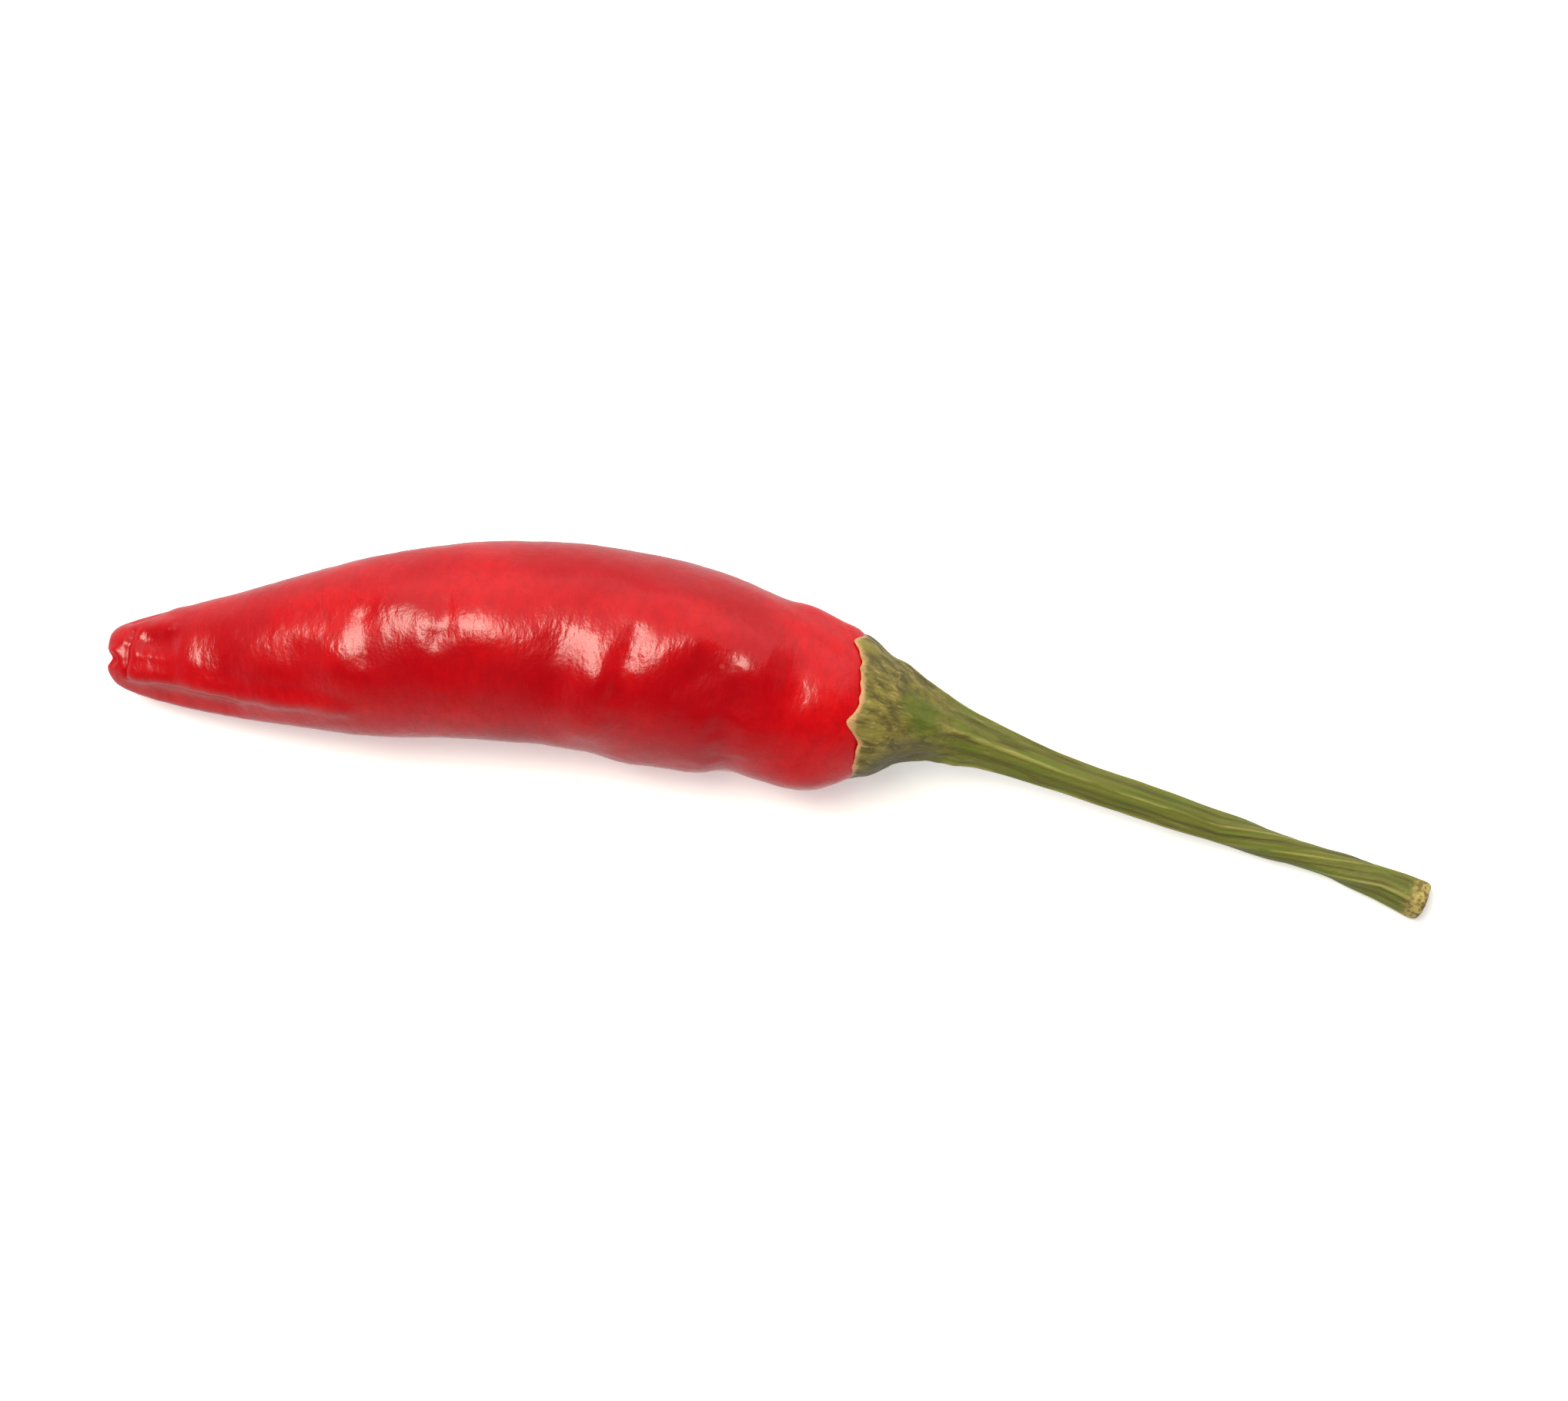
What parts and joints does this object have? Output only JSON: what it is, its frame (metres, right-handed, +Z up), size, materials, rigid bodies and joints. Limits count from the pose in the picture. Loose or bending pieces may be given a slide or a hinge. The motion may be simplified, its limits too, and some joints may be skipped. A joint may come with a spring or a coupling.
{
  "type": "chilli pepper",
  "caption": "Fresh red chilli pepper as picked, lying on its side: a curved tapering pod with a lumpy glossy skin, and a green calyx that runs on as a long stalk.",
  "frame": {"origin": "centre of the outline seen from above, on the surface that the chilli rests on", "axes": "+X from the pod's tip to the stalk's cut end; +Y the side that the pod bows to; +Z up from the table"},
  "size_m": [0.0828, 0.0148, 0.0119],
  "materials": {
    "red_skin": "glossy waxy ripe red skin",
    "green_stalk": "satin olive green, ridged, drying tan at the rim and the cut end"
  },
  "bodies": {
    "root": {"pod": "red_skin", "calyx_and_stalk": "green_stalk"}
  },
  "joints": []
}
